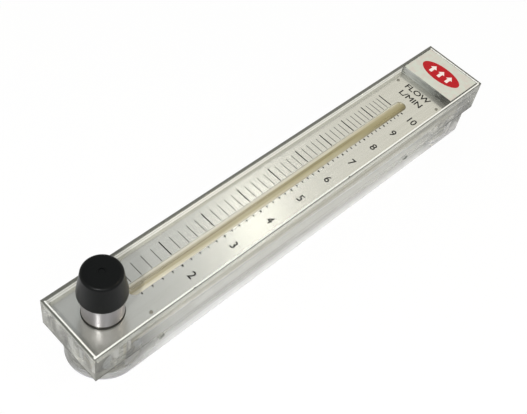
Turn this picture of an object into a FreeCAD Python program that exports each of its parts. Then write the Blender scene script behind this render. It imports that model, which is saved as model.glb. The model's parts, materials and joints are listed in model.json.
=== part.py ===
"""Rotameter with an inlet valve: a machined clear body, a scale plate and a float in a tapered bore.

The meter lies on its back. The origin is the centre of the back face, +Z points out of the front,
+Y runs from the inlet (valve) end to the outlet end, and +X is to the right seen from the front.
All lengths are in millimetres.
"""
import FreeCAD, Part
import math
import os

import Sketcher

V = FreeCAD.Vector
doc = FreeCAD.newDocument("Rotameter")

# ---------------------------------------------------------------- driving sizes
SIZES = [
    # body
    ("body_length", 384.0),  # overall height of the meter
    ("body_width", 54.0),  # front block, side to side
    ("body_depth", 49.2),  # back face to front rim
    ("front_depth", 27.0),  # front rectangular block
    ("back_step", 1.0),  # the back block is this much narrower on each side and end
    ("back_corner_r", 11.0),  # back block, corners at the outlet end
    ("edge_chamfer", 0.4),  # broken edges of the front rim
    ("port_inset", 27.0),  # port and valve axes from each end
    ("overcut", 1.0),  # turned cuts run this far past the face they open
    # front recess, scale plate and cap
    ("recess_depth", 7.0),
    ("rim_wall", 2.0),
    ("end_wall", 2.5),
    ("plate_thick", 1.0),
    ("plate_gap", 0.15),  # plate and cap to the recess walls
    ("slot_width", 9.2),
    ("slot_start", 20.0),  # from the valve axis
    ("slot_end", 64.0),  # from the outlet end
    ("plate_hole_gap", 0.4),  # round the valve bushing
    ("pin_d", 1.6),
    ("pin_head_d", 2.4),
    ("pin_head_thick", 0.35),
    ("pin_length", 5.0),
    ("pin_gap", 0.05),
    ("pin_inset", 5.0),  # plate pins from the long edges
    ("pin_end_inset", 47.5),  # upper pins from the outlet end
    ("pin_low_inset", 49.0),  # lower pins from the inlet end
    ("cap_length", 35.0),
    ("cap_chamfer", 0.5),
    ("label_thick", 0.12),
    ("label_margin", 0.8),
    # flow passages
    ("bore_depth", 22.2),  # bore axis behind the front rim
    ("bore_small_d", 13.6),  # at the valve axis
    ("bore_large_d", 18.6),  # at the outlet chamber
    ("taper_end", 62.0),  # end of the taper from the outlet end
    ("outlet_passage_d", 13.0),
    ("chamber_d", 17.0),
    ("seat_depth", 3.5),
    ("seat_outer_d", 20.0),
    ("seat_bore_d", 9.0),
    ("seat_gap", 0.05),
    # adaptors at the back
    ("counterbore_d", 31.0),
    ("counterbore_depth", 14.0),
    ("adaptor_gap", 0.1),
    ("neck_gap", 0.9),  # adaptor neck to the retaining ring
    ("adaptor_recess", 0.3),  # rear face of the neck below the back face
    ("thread_bore_d", 18.2),  # tap drill of the 1/2 inch pipe thread
    ("thread_length", 11.5),
    ("adaptor_bore_d", 12.0),
    ("ring_thick", 1.3),
    ("ring_inset", 2.4),  # retaining ring from the back face
    ("ring_groove_depth", 1.1),
    ("ring_width", 3.35),
    ("ring_gap_deg", 24.0),
    ("ring_clear", 0.05),
    ("oring_d", 2.4),  # section of the adaptor and plug O-rings
    ("oring_clear", 0.05),
    # top plug
    ("plug_d", 21.0),
    ("plug_length", 15.0),
    ("plug_gap", 0.1),
    ("plug_inset", 0.6),
    ("plug_oring_inset", 4.6),  # from the inner face of the plug
    ("stop_rod_d", 5.0),
    ("stop_rod_end", 60.0),  # tip of the stop rod from the outlet end
    ("keeper_d", 3.0),  # pin that locks the plug
    ("keeper_inset", 4.6),  # from the outer face of the plug
    ("keeper_gap", 0.06),
    ("keeper_bite", 6.0),  # below the plug axis
    # float and its lower stop
    ("float_gap", 0.3),  # float to bore at the inlet end of the bore
    ("float_length", 10.0),
    ("float_band", 0.8),  # reading edge, a short cylinder
    ("float_cone", 5.2),  # below the reading edge
    ("float_foot_d", 7.0),
    ("float_nose_d", 5.0),
    ("float_nose", 1.6),
    ("stop_pin_d", 2.4),
    ("stop_pin_inset", 12.4),  # from the valve axis
    ("stop_pin_gap", 0.05),
    ("stop_pin_bite", 1.2),  # below the bore
    ("float_seat_gap", 0.06),
    # valve bushing
    ("bushing_d", 27.2),
    ("bushing_height", 25.3),  # polished collar above the recess floor
    ("bushing_chamfer", 0.6),
    ("bushing_foot", 1.1),  # undercut ring at the plate
    ("neck_d", 18.0),
    ("neck_height", 4.0),
    ("shank_d", 20.0),
    ("shank_length", 7.6),
    ("shank_gap", 0.05),
    ("bushing_oring_d", 1.8),
    ("bushing_oring_drop", 2.6),  # below the recess floor
    # stem
    ("stem_d", 8.0),
    ("stem_gap", 0.05),
    ("stem_thread_d", 10.0),
    ("thread_start", 17.0),  # threaded bore of the bushing from its lower end
    ("stem_shoulder", 4.6),  # stem thread above the start of the threaded bore, at rest
    ("stem_plug_d", 12.0),
    ("stem_plug_height", 4.0),
    ("stem_nose_d", 8.2),
    ("stem_nose_tip_d", 4.6),
    ("stem_nose_height", 3.6),
    ("stem_spigot_d", 6.35),
    ("stem_oring_d", 1.8),
    ("stem_oring_rise", 10.0),  # above the lower end of the bushing, at rest
    ("valve_open", 3.81),  # stem lift at rest above the closed seat
    ("seat_contact", 0.08),
    ("valve_more", 2.54),  # lift left before the clip meets the bushing
    ("clip_d", 13.0),
    ("clip_thick", 0.9),
    ("clip_stop_gap", 0.3),
    ("clip_seat_d", 6.0),
    ("clip_mouth_deg", 70.0),
    ("clip_gap", 0.05),
    # knob
    ("knob_base_d", 31.8),
    ("knob_top_d", 25.8),
    ("knob_height", 21.7),
    ("knob_lift", 22.3),  # lower rim above the plate, at rest
    ("knob_edge_r", 2.2),
    ("knob_rim", 1.2),  # straight band at the lower rim
    ("knob_mouth_gap", 0.5),  # round the bushing collar
    ("knob_mouth_depth", 6.5),
    ("knob_cavity_gap", 1.5),  # round the bushing neck
    ("knob_cavity_depth", 10.5),
    ("knob_dimple_d", 5.0),
    ("knob_dimple_depth", 0.5),
    ("knob_crown", 2.4),  # material over the stem
    ("spigot_gap", 0.04),
    ("set_screw_d", 3.0),
    ("set_screw_length", 7.0),
    ("set_screw_rise", 4.4),  # above the web of the knob
    ("set_screw_gap", 0.05),
    # bracket holes in the right side
    ("side_hole_d", 4.6),
    ("side_hole_depth", 9.0),
    ("side_hole_height", 14.5),
    ("side_hole_low", 54.0),  # from the inlet end
    ("side_hole_high", 303.0),  # from the inlet end
]

# ---------------------------------------------------------------- sizes that follow from them
DERIVED = [
    ("half_length", "body_length / 2"),
    ("half_width", "body_width / 2"),
    ("back_depth", "body_depth - front_depth"),
    ("valve_y", "port_inset - half_length"),
    ("outlet_y", "half_length - port_inset"),
    ("floor_z", "body_depth - recess_depth"),
    ("plate_top_z", "floor_z + plate_thick"),
    ("recess_half", "half_width - rim_wall"),
    ("recess_low_y", "end_wall - half_length"),
    ("recess_high_y", "half_length - end_wall"),
    ("bore_z", "body_depth - bore_depth"),
    ("bore_small_r", "bore_small_d / 2"),
    ("bore_large_r", "bore_large_d / 2"),
    ("taper_end_y", "half_length - taper_end"),
    ("chamber_r", "chamber_d / 2"),
    ("chamber_low_z", "counterbore_depth + seat_depth"),
    ("shank_low_z", "floor_z - shank_length"),
    ("ring_groove_r", "counterbore_d / 2 + ring_groove_depth"),
    ("ring_outer_r", "ring_groove_r - ring_clear"),
    ("ring_bore_r", "ring_outer_r - ring_width"),
    ("adaptor_neck_r", "ring_bore_r - neck_gap"),
    ("adaptor_r", "counterbore_d / 2 - adaptor_gap"),
    ("adaptor_step_z", "ring_inset + ring_thick + ring_clear"),
    ("adaptor_oring_z", "(adaptor_step_z + counterbore_depth) / 2"),
    ("oring_groove", "oring_d + 2 * oring_clear"),
    ("plug_r", "plug_d / 2"),
    ("plug_face_y", "half_length - plug_inset"),
    ("plug_inner_y", "plug_face_y - plug_length"),
    ("keeper_y", "plug_face_y - keeper_inset"),
    ("stop_pin_y", "valve_y + stop_pin_inset"),
    ("float_low_y", "stop_pin_y + stop_pin_d / 2 + float_seat_gap"),
    ("float_r", "bore_small_r - float_gap"),
    ("float_travel", "half_length - stop_rod_end - float_low_y - float_length - float_seat_gap"),
    ("bushing_r", "bushing_d / 2"),
    ("shank_r", "shank_d / 2"),
    ("stem_bore_r", "stem_d / 2 + stem_gap"),
    ("thread_z", "shank_low_z + thread_start"),
    ("stem_low_z", "chamber_low_z + seat_contact + valve_open"),
    ("clip_z", "shank_low_z - valve_more - clip_stop_gap - clip_thick"),
    ("knob_z", "plate_top_z + knob_lift"),
    ("spigot_top_z", "knob_z + knob_height - knob_crown"),
    ("knob_web_z", "knob_z + knob_cavity_depth"),
    ("knob_lower_r", "knob_base_d / 2"),
    ("knob_upper_r", "knob_top_d / 2"),
    ("spigot_r", "stem_spigot_d / 2"),
    ("stem_tip_z", "stem_low_z - stem_nose_height"),
    ("stem_groove_r", "stem_bore_r - stem_oring_d - 2 * oring_clear"),
    ("stem_oring_z", "shank_low_z + stem_oring_rise"),
    ("plug_groove_r", "plug_r + plug_gap - oring_d - 2 * oring_clear"),
    ("plug_keeper_r", "plug_r - keeper_d / 2 - keeper_gap"),
    ("adaptor_groove_r", "counterbore_d / 2 - oring_d - 2 * oring_clear"),
    ("shank_groove_r", "shank_r + shank_gap - bushing_oring_d - 2 * oring_clear"),
    ("bushing_oring_z", "shank_length - bushing_oring_drop"),
    ("rod_length", "stop_rod_end - plug_inset - plug_length"),
    ("slot_low_y", "valve_y + slot_start"),
    ("slot_high_y", "half_length - slot_end"),
    ("plate_low_y", "recess_low_y + plate_gap"),
    ("plate_high_y", "recess_high_y - plate_gap"),
    ("plate_half", "recess_half - plate_gap"),
    ("cap_low_y", "plate_high_y - cap_length"),
    ("cap_top_z", "body_depth - label_thick"),
    ("pin_x", "recess_half - pin_inset"),
]

sheet = doc.addObject("Spreadsheet::Sheet", "Sizes")
for row, (alias, value) in enumerate(SIZES, start=1):
    sheet.set("A%d" % row, alias)
    sheet.set("B%d" % row, str(value))
    sheet.setAlias("B%d" % row, alias)
for row, (alias, formula) in enumerate(DERIVED, start=1):
    sheet.set("D%d" % row, alias)
    sheet.set("E%d" % row, "=" + formula)
    sheet.setAlias("E%d" % row, alias)
doc.recompute()

NAMES = sorted([a for a, _ in SIZES] + [a for a, _ in DERIVED], key=len, reverse=True)
SCRATCH = "G1"  # a cell for working out one value, cleared at the end
parts = []


def size(alias):
    """The value of one cell of the sheet."""
    return float(getattr(sheet, alias))


def bound(text):
    """An expression in plain cell names, written for setExpression."""
    out, word = "", ""
    for char in text + " ":
        if char.isalnum() or char == "_":
            word += char
            continue
        out += "Sizes." + word if word in NAMES else word
        out += char
        word = ""
    return out.strip()


def value_of(text):
    """The number that an expression in cell names gives now."""
    sheet.set(SCRATCH, "=" + text)
    sheet.recompute()
    return float(sheet.get(SCRATCH))


def tie(obj, prop, text):
    """Binds a property of an object to an expression in cell names."""
    obj.setExpression(prop, bound(text))


def plane(body, role):
    """One of a body's own origin planes or axes."""
    return [f for f in body.Origin.OriginFeatures if f.Role == role][0]


def place(obj, x="0", y="0", z="0", axis=None, angle=0.0):
    """Ties the place of a piece to the sheet, with a fixed turn about an axis."""
    turn = FreeCAD.Rotation(axis or V(0, 0, 1), angle)
    obj.Placement = FreeCAD.Placement(V(0, 0, 0), turn)
    for name, text in (("x", x), ("y", y), ("z", z)):
        if text != "0":
            tie(obj, "Placement.Base." + name, text)


def add_part(obj, label):
    """Names a finished piece and puts it on the list of nodes."""
    obj.Label = label
    parts.append(obj)
    return obj


def new_body(label):
    """A PartDesign body that will be one node."""
    return add_part(doc.addObject("PartDesign::Body", label), label)


def new_sketch(body, name, role, offset=None, rise=None):
    """An empty sketch on one of the body's planes, moved along the normal and up the plane."""
    sk = body.newObject("Sketcher::SketchObject", name)
    sk.AttachmentSupport = [(plane(body, role), "")]
    sk.MapMode = "FlatFace"
    if offset:
        tie(sk, "AttachmentOffset.Base.z", offset)
    if rise:
        tie(sk, "AttachmentOffset.Base.y", rise)
    return sk


def outline(body, name, points, role="XZ_Plane", offset=None, rise=None):
    """A closed sketch of straight lines; each corner is two expressions, across and up."""
    sk = new_sketch(body, name, role, offset, rise)
    numbers = [(value_of(u), value_of(v)) for u, v in points]
    count = len(points)
    for i, (u, v) in enumerate(numbers):
        nxt = numbers[(i + 1) % count]
        sk.addGeometry(Part.LineSegment(V(u, v, 0), V(nxt[0], nxt[1], 0)), False)
    for i in range(count):
        sk.addConstraint(Sketcher.Constraint("Coincident", i, 2, (i + 1) % count, 1))
    for i, (u, v) in enumerate(points):
        for kind, text, number in (("DistanceX", u, numbers[i][0]), ("DistanceY", v, numbers[i][1])):
            if text == "0":
                line = -2 if kind == "DistanceX" else -1
                sk.addConstraint(Sketcher.Constraint("PointOnObject", i, 1, line))
                continue
            where = sk.addConstraint(Sketcher.Constraint(kind, -1, 1, i, 1, number))
            sk.setExpression("Constraints[%d]" % where, bound(text))
    return sk


def circles(body, name, spots, role="XY_Plane", offset=None):
    """A sketch of circles; each spot is a centre across, a centre up and a radius."""
    sk = new_sketch(body, name, role, offset)
    for i, (u, v, r) in enumerate(spots):
        sk.addGeometry(Part.Circle(V(value_of(u), value_of(v), 0), V(0, 0, 1), value_of(r)), False)
        for kind, text in (("DistanceX", u), ("DistanceY", v)):
            if text == "0":
                line = -2 if kind == "DistanceX" else -1
                sk.addConstraint(Sketcher.Constraint("PointOnObject", i, 3, line))
                continue
            where = sk.addConstraint(Sketcher.Constraint(kind, -1, 1, i, 3, value_of(text)))
            sk.setExpression("Constraints[%d]" % where, bound(text))
        where = sk.addConstraint(Sketcher.Constraint("Radius", i, value_of(r)))
        sk.setExpression("Constraints[%d]" % where, bound(r))
    return sk


def pad(body, sk, length):
    """Raises a sketch along its normal."""
    feature = body.newObject("PartDesign::Pad", "Pad")
    feature.Profile = sk
    tie(feature, "Length", length)
    return feature


def pocket(body, sk, depth):
    """Sinks a sketch against its normal."""
    feature = body.newObject("PartDesign::Pocket", "Pocket")
    feature.Profile = sk
    tie(feature, "Length", depth)
    return feature


def revolve(body, sk, cut=False, axis="V_Axis", sweep=None):
    """Turns a sketch round its own axis, as material or as a cut."""
    feature = body.newObject("PartDesign::" + ("Groove" if cut else "Revolution"), "Turned")
    feature.Profile = sk
    feature.ReferenceAxis = (sk, [axis])
    feature.Angle = 360.0
    if sweep:
        tie(feature, "Angle", sweep)
    return feature


def turned(label, points, sweep=None, **where):
    """A turned piece: its half section about the local Z axis, then its place."""
    body = new_body(label)
    revolve(body, outline(body, label + "_section", points), sweep=sweep)
    place(body, **where)
    return body


def ring_of_round_section(label, radius, section, **where):
    """An O-ring: a torus of a mean radius and a section radius."""
    ring = add_part(doc.addObject("Part::Torus", label), label)
    tie(ring, "Radius1", radius)
    tie(ring, "Radius2", section)
    place(ring, **where)
    return ring


ALONG_Y = {"axis": V(1, 0, 0), "angle": -90.0}  # local +Z becomes +Y


# ---------------------------------------------------------------- body
def make_body():
    """The clear block: a rectangular front, a round-ended back and all its bores."""
    body = new_body("body")

    front = outline(
        body,
        "front_block",
        [
            ("-half_width", "-half_length"),
            ("half_width", "-half_length"),
            ("half_width", "half_length"),
            ("-half_width", "half_length"),
        ],
        role="XY_Plane",
        offset="back_depth",
    )
    pad(body, front, "front_depth")

    back = new_sketch(body, "back_block", "XY_Plane")
    half = value_of("half_width - back_step")
    low = size("valve_y")
    high = value_of("half_length - back_step")
    corner = size("back_corner_r")
    back.addGeometry(Part.LineSegment(V(-half, high - corner, 0), V(-half, low, 0)), False)
    arc = Part.Circle(V(0, low, 0), V(0, 0, 1), half)
    back.addGeometry(Part.ArcOfCircle(arc, math.pi, 2 * math.pi), False)
    back.addGeometry(Part.LineSegment(V(half, low, 0), V(half, high - corner, 0)), False)
    arc = Part.Circle(V(half - corner, high - corner, 0), V(0, 0, 1), corner)
    back.addGeometry(Part.ArcOfCircle(arc, 0, math.pi / 2), False)
    back.addGeometry(Part.LineSegment(V(half - corner, high, 0), V(corner - half, high, 0)), False)
    arc = Part.Circle(V(corner - half, high - corner, 0), V(0, 0, 1), corner)
    back.addGeometry(Part.ArcOfCircle(arc, math.pi / 2, math.pi), False)
    for first, end, second, start in (
        (0, 2, 1, 1),
        (1, 2, 2, 1),
        (2, 2, 3, 1),
        (3, 2, 4, 1),
        (4, 2, 5, 1),
        (5, 2, 0, 1),
    ):
        back.addConstraint(Sketcher.Constraint("Tangent", first, end, second, start))
    back.addConstraint(Sketcher.Constraint("Vertical", 2))
    back.addConstraint(Sketcher.Constraint("Horizontal", 4))
    back.addConstraint(Sketcher.Constraint("PointOnObject", 1, 3, -2))
    for kind, args, text in (
        ("DistanceY", (-1, 1, 1, 3), "valve_y"),
        ("Radius", (1,), "half_width - back_step"),
        ("Radius", (3,), "back_corner_r"),
        ("Radius", (5,), "back_corner_r"),
        ("DistanceY", (-1, 1, 4, 1), "half_length - back_step"),
    ):
        where = back.addConstraint(Sketcher.Constraint(kind, *args, value_of(text)))
        back.setExpression("Constraints[%d]" % where, bound(text))
    pad(body, back, "back_depth")

    recess = outline(
        body,
        "recess",
        [
            ("-recess_half", "recess_low_y"),
            ("recess_half", "recess_low_y"),
            ("recess_half", "recess_high_y"),
            ("-recess_half", "recess_high_y"),
        ],
        role="XY_Plane",
        offset="body_depth",
    )
    pocket(body, recess, "recess_depth")

    # the stepped bore at the inlet, from the back face to the recess floor
    inlet = outline(
        body,
        "inlet_bore",
        [
            ("0", "-overcut"),
            ("counterbore_d / 2", "-overcut"),
            ("counterbore_d / 2", "ring_inset - ring_clear"),
            ("ring_groove_r", "ring_inset - ring_clear"),
            ("ring_groove_r", "ring_inset + ring_thick + ring_clear"),
            ("counterbore_d / 2", "ring_inset + ring_thick + ring_clear"),
            ("counterbore_d / 2", "counterbore_depth"),
            ("seat_outer_d / 2 + seat_gap", "counterbore_depth"),
            ("seat_outer_d / 2 + seat_gap", "chamber_low_z"),
            ("chamber_r", "chamber_low_z"),
            ("chamber_r", "shank_low_z"),
            ("shank_r + shank_gap", "shank_low_z"),
            ("shank_r + shank_gap", "floor_z + overcut"),
            ("0", "floor_z + overcut"),
        ],
        role="XZ_Plane",
        offset="-valve_y",
    )
    revolve(body, inlet, cut=True)

    # the outlet counterbore and its passage to the tapered bore
    outlet = outline(
        body,
        "outlet_bore",
        [
            ("0", "-overcut"),
            ("counterbore_d / 2", "-overcut"),
            ("counterbore_d / 2", "ring_inset - ring_clear"),
            ("ring_groove_r", "ring_inset - ring_clear"),
            ("ring_groove_r", "ring_inset + ring_thick + ring_clear"),
            ("counterbore_d / 2", "ring_inset + ring_thick + ring_clear"),
            ("counterbore_d / 2", "counterbore_depth"),
            ("outlet_passage_d / 2", "counterbore_depth"),
            ("outlet_passage_d / 2", "bore_z"),
            ("0", "bore_z"),
        ],
        role="XZ_Plane",
        offset="-outlet_y",
    )
    revolve(body, outlet, cut=True)

    # the tapered bore, the outlet chamber and the plug bore, turned about the bore axis
    taper = outline(
        body,
        "tapered_bore",
        [
            ("valve_y", "0"),
            ("valve_y", "bore_small_r"),
            ("taper_end_y", "bore_large_r"),
            ("plug_inner_y - plug_gap", "bore_large_r"),
            ("plug_inner_y - plug_gap", "plug_r + plug_gap"),
            ("half_length + overcut", "plug_r + plug_gap"),
            ("half_length + overcut", "0"),
        ],
        role="YZ_Plane",
        rise="bore_z",
    )
    revolve(body, taper, cut=True, axis="H_Axis")

    # drilled from the recess floor: plate pins, float stop pin and plug keeper
    pins = circles(
        body, "pin_holes", [(x, y, "pin_d / 2 + pin_gap") for x, y in PIN_SPOTS], offset="floor_z"
    )
    pocket(body, pins, "pin_length")
    stop = circles(
        body, "stop_pin_hole", [("0", "stop_pin_y", "stop_pin_d / 2 + stop_pin_gap")], offset="floor_z"
    )
    pocket(body, stop, "floor_z - bore_z + bore_small_r + stop_pin_bite")
    keeper = circles(
        body, "keeper_hole", [("plug_r", "keeper_y", "keeper_d / 2 + keeper_gap")], offset="floor_z"
    )
    pocket(body, keeper, "floor_z - bore_z + keeper_bite")

    # blind bracket holes in the right side
    side = circles(
        body,
        "side_holes",
        [
            ("side_hole_low - half_length", "side_hole_height", "side_hole_d / 2"),
            ("side_hole_high - half_length", "side_hole_height", "side_hole_d / 2"),
        ],
        role="YZ_Plane",
        offset="half_width - back_step",
    )
    drilled = pocket(body, side, "side_hole_depth")

    doc.recompute()
    rim = [
        "Edge%d" % (i + 1)
        for i, e in enumerate(drilled.Shape.Edges)
        if all(abs(v.Point.z - size("body_depth")) < 1e-6 for v in e.Vertexes)
    ]
    bevel = body.newObject("PartDesign::Chamfer", "rim_edges")
    bevel.Base = (drilled, rim)
    tie(bevel, "Size", "edge_chamfer")
    body.Tip = bevel
    return body


# ---------------------------------------------------------------- scale plate, pins, cap and label
PIN_SPOTS = [
    ("-pin_x", "pin_low_inset - half_length"),
    ("pin_x", "pin_low_inset - half_length"),
    ("-pin_x", "half_length - pin_end_inset"),
    ("pin_x", "half_length - pin_end_inset"),
]


def make_scale_plate():
    """A flat plate with the reading slot, the valve hole and four pin holes."""
    plate = new_body("scale_plate")
    blank = outline(
        plate,
        "plate_blank",
        [
            ("-plate_half", "plate_low_y"),
            ("plate_half", "plate_low_y"),
            ("plate_half", "plate_high_y"),
            ("-plate_half", "plate_high_y"),
        ],
        role="XY_Plane",
    )
    pad(plate, blank, "plate_thick")
    holes = [("0", "valve_y", "bushing_r + plate_hole_gap")]
    holes += [(x, y, "pin_d / 2 + pin_gap") for x, y in PIN_SPOTS]
    pocket(plate, circles(plate, "plate_holes", holes, offset="plate_thick"), "plate_thick")

    slot = new_sketch(plate, "slot", "XY_Plane", offset="plate_thick")
    r = value_of("slot_width / 2")
    low, high = value_of("slot_low_y + slot_width / 2"), value_of("slot_high_y - slot_width / 2")
    slot.addGeometry(Part.LineSegment(V(r, low, 0), V(r, high, 0)), False)
    slot.addGeometry(Part.ArcOfCircle(Part.Circle(V(0, high, 0), V(0, 0, 1), r), 0, math.pi), False)
    slot.addGeometry(Part.LineSegment(V(-r, high, 0), V(-r, low, 0)), False)
    arc = Part.ArcOfCircle(Part.Circle(V(0, low, 0), V(0, 0, 1), r), math.pi, 2 * math.pi)
    slot.addGeometry(arc, False)
    for i in range(4):
        slot.addConstraint(Sketcher.Constraint("Tangent", i, 2, (i + 1) % 4, 1))
    slot.addConstraint(Sketcher.Constraint("Vertical", 0))
    slot.addConstraint(Sketcher.Constraint("PointOnObject", 1, 3, -2))
    for kind, args, text in (
        ("DistanceY", (-1, 1, 1, 3), "slot_high_y - slot_width / 2"),
        ("DistanceY", (-1, 1, 3, 3), "slot_low_y + slot_width / 2"),
        ("Radius", (1,), "slot_width / 2"),
    ):
        where = slot.addConstraint(Sketcher.Constraint(kind, *args, value_of(text)))
        slot.setExpression("Constraints[%d]" % where, bound(text))
    pocket(plate, slot, "plate_thick")
    place(plate, z="floor_z")


def make_plate_pins():
    """Four headed drive pins, one node."""
    pins = []
    for i, (x, y) in enumerate(PIN_SPOTS):
        shank = doc.addObject("Part::Cylinder", "pin_shank_%d" % i)
        tie(shank, "Radius", "pin_d / 2")
        tie(shank, "Height", "pin_length - pin_gap + plate_thick")
        place(shank, x=x, y=y, z="floor_z - pin_length + pin_gap")
        head = doc.addObject("Part::Cylinder", "pin_head_%d" % i)
        tie(head, "Radius", "pin_head_d / 2")
        tie(head, "Height", "pin_head_thick")
        place(head, x=x, y=y, z="plate_top_z")
        pin = doc.addObject("Part::Fuse", "pin_%d" % i)
        pin.Base, pin.Tool = shank, head
        pins.append(pin)
    group = doc.addObject("Part::Compound", "plate_pins")
    group.Links = pins
    add_part(group, "plate_pins")


def make_slip_cap():
    """The clear block that fills the outlet end of the recess."""
    cap = new_body("slip_cap")
    block = outline(
        cap,
        "cap_block",
        [
            ("-plate_half", "cap_low_y"),
            ("plate_half", "cap_low_y"),
            ("plate_half", "plate_high_y"),
            ("-plate_half", "plate_high_y"),
        ],
        role="XY_Plane",
    )
    raised = pad(cap, block, "cap_top_z - plate_top_z")
    doc.recompute()
    top = max(v.Point.z for v in raised.Shape.Vertexes)
    edges = [
        "Edge%d" % (i + 1)
        for i, e in enumerate(raised.Shape.Edges)
        if all(abs(v.Point.z - top) < 1e-6 for v in e.Vertexes)
    ]
    bevel = cap.newObject("PartDesign::Chamfer", "cap_edges")
    bevel.Base = (raised, edges)
    tie(bevel, "Size", "cap_chamfer")
    cap.Tip = bevel
    place(cap, z="plate_top_z")


def make_cap_label():
    """The thin label on the cap."""
    label = add_part(doc.addObject("Part::Box", "cap_label"), "cap_label")
    tie(label, "Length", "2 * (plate_half - label_margin)")
    tie(label, "Width", "cap_length - 2 * label_margin")
    tie(label, "Height", "label_thick")
    place(label, x="label_margin - plate_half", y="cap_low_y + label_margin", z="cap_top_z")


# ---------------------------------------------------------------- float and its stops
def make_float():
    """A turned float: foot, cone up to the reading edge, and a short nose on top."""
    turned(
        "float",
        [
            ("0", "0"),
            ("float_foot_d / 2", "0"),
            ("float_foot_d / 2", "float_length - float_nose - float_band - float_cone"),
            ("float_r", "float_length - float_nose - float_band"),
            ("float_r", "float_length - float_nose"),
            ("float_nose_d / 2", "float_length - float_nose"),
            ("float_nose_d / 2", "float_length"),
            ("0", "float_length"),
        ],
        y="float_low_y",
        z="bore_z",
        **ALONG_Y,
    )


def make_float_stop_pin():
    """The pin across the bore that the float rests on."""
    pin = add_part(doc.addObject("Part::Cylinder", "float_stop_pin"), "float_stop_pin")
    tie(pin, "Radius", "stop_pin_d / 2")
    tie(pin, "Height", "floor_z - bore_z + bore_small_r + stop_pin_bite - 2 * stop_pin_gap")
    place(pin, y="stop_pin_y", z="bore_z - bore_small_r - stop_pin_bite + stop_pin_gap")


def make_top_plug():
    """The plug with its O-ring groove, its keeper groove and the rod that stops the float."""
    ring_low = "plug_oring_inset - oring_groove / 2"
    ring_high = "plug_oring_inset + oring_groove / 2"
    keep_low = "plug_length - keeper_inset - keeper_d / 2 - keeper_gap"
    keep_high = "plug_length - keeper_inset + keeper_d / 2 + keeper_gap"
    turned(
        "top_plug",
        [
            ("0", "-rod_length"),
            ("stop_rod_d / 2", "-rod_length"),
            ("stop_rod_d / 2", "0"),
            ("plug_r", "0"),
            ("plug_r", ring_low),
            ("plug_groove_r", ring_low),
            ("plug_groove_r", ring_high),
            ("plug_r", ring_high),
            ("plug_r", keep_low),
            ("plug_keeper_r", keep_low),
            ("plug_keeper_r", keep_high),
            ("plug_r", keep_high),
            ("plug_r", "plug_length"),
            ("0", "plug_length"),
        ],
        y="plug_inner_y",
        z="bore_z",
        **ALONG_Y,
    )
    ring_of_round_section(
        "top_plug_oring",
        "plug_groove_r + oring_clear + oring_d / 2",
        "oring_d / 2",
        y="plug_inner_y + plug_oring_inset",
        z="bore_z",
        **ALONG_Y,
    )
    keeper = add_part(doc.addObject("Part::Cylinder", "plug_retaining_pin"), "plug_retaining_pin")
    tie(keeper, "Radius", "keeper_d / 2")
    tie(keeper, "Height", "floor_z - bore_z + keeper_bite - 2 * keeper_gap")
    place(keeper, x="plug_r", y="keeper_y", z="bore_z - keeper_bite + keeper_gap")


# ---------------------------------------------------------------- valve
def make_bushing():
    """The polished bushing: shank in the body, collar over the plate, neck inside the knob."""
    ring_low = "bushing_oring_z - bushing_oring_d / 2 - oring_clear"
    ring_high = "bushing_oring_z + bushing_oring_d / 2 + oring_clear"
    collar_top = "shank_length + bushing_height"
    turned(
        "valve_bushing",
        [
            ("stem_bore_r", "0"),
            ("shank_r", "0"),
            ("shank_r", ring_low),
            ("shank_groove_r", ring_low),
            ("shank_groove_r", ring_high),
            ("shank_r", ring_high),
            ("shank_r", "shank_length"),
            ("bushing_r - bushing_foot", "shank_length"),
            ("bushing_r - bushing_foot", "shank_length + plate_thick + bushing_foot"),
            ("bushing_r", "shank_length + plate_thick + bushing_foot"),
            ("bushing_r", collar_top + " - bushing_chamfer"),
            ("bushing_r - bushing_chamfer", collar_top),
            ("neck_d / 2", collar_top),
            ("neck_d / 2", collar_top + " + neck_height"),
            ("stem_thread_d / 2 + stem_gap", collar_top + " + neck_height"),
            ("stem_thread_d / 2 + stem_gap", "thread_start"),
            ("stem_bore_r", "thread_start"),
        ],
        y="valve_y",
        z="shank_low_z",
    )
    ring_of_round_section(
        "bushing_oring",
        "shank_groove_r + oring_clear + bushing_oring_d / 2",
        "bushing_oring_d / 2",
        y="valve_y",
        z="shank_low_z + bushing_oring_z",
    )


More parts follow.
